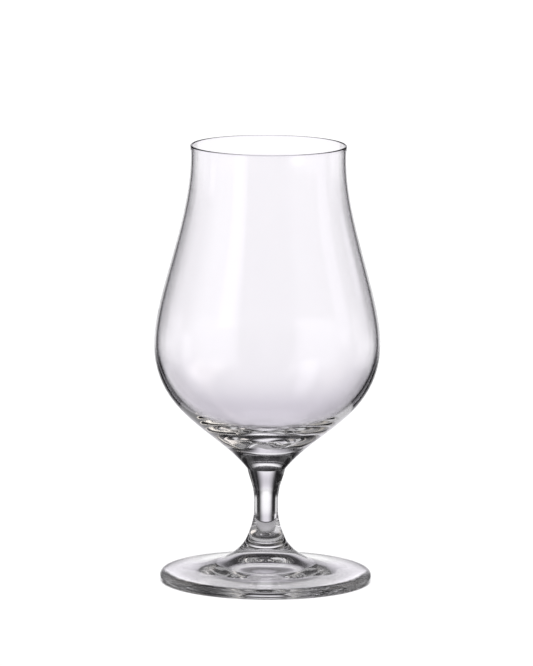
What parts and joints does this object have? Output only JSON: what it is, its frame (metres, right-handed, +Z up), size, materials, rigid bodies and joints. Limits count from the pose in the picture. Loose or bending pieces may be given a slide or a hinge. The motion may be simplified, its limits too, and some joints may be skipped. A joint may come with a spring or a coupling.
{
  "type": "tulip beer glass",
  "caption": "Stemmed tulip beer glass: thin clear bowl with a full belly and a narrowed, slightly flared mouth, fused to a short waisted stem and a wide round foot.",
  "frame": {"origin": "middle of the ring that the foot stands on, at table height", "axes": "+Z up along the glass's axis, from the foot to the rim; X and Y lie in the table's plane"},
  "size_m": [0.092, 0.092, 0.1788],
  "materials": {
    "clear_glass": "clear, fire polished"
  },
  "bodies": {
    "root": {"bowl": "clear_glass", "stem": "clear_glass", "foot": "clear_glass"}
  },
  "joints": []
}
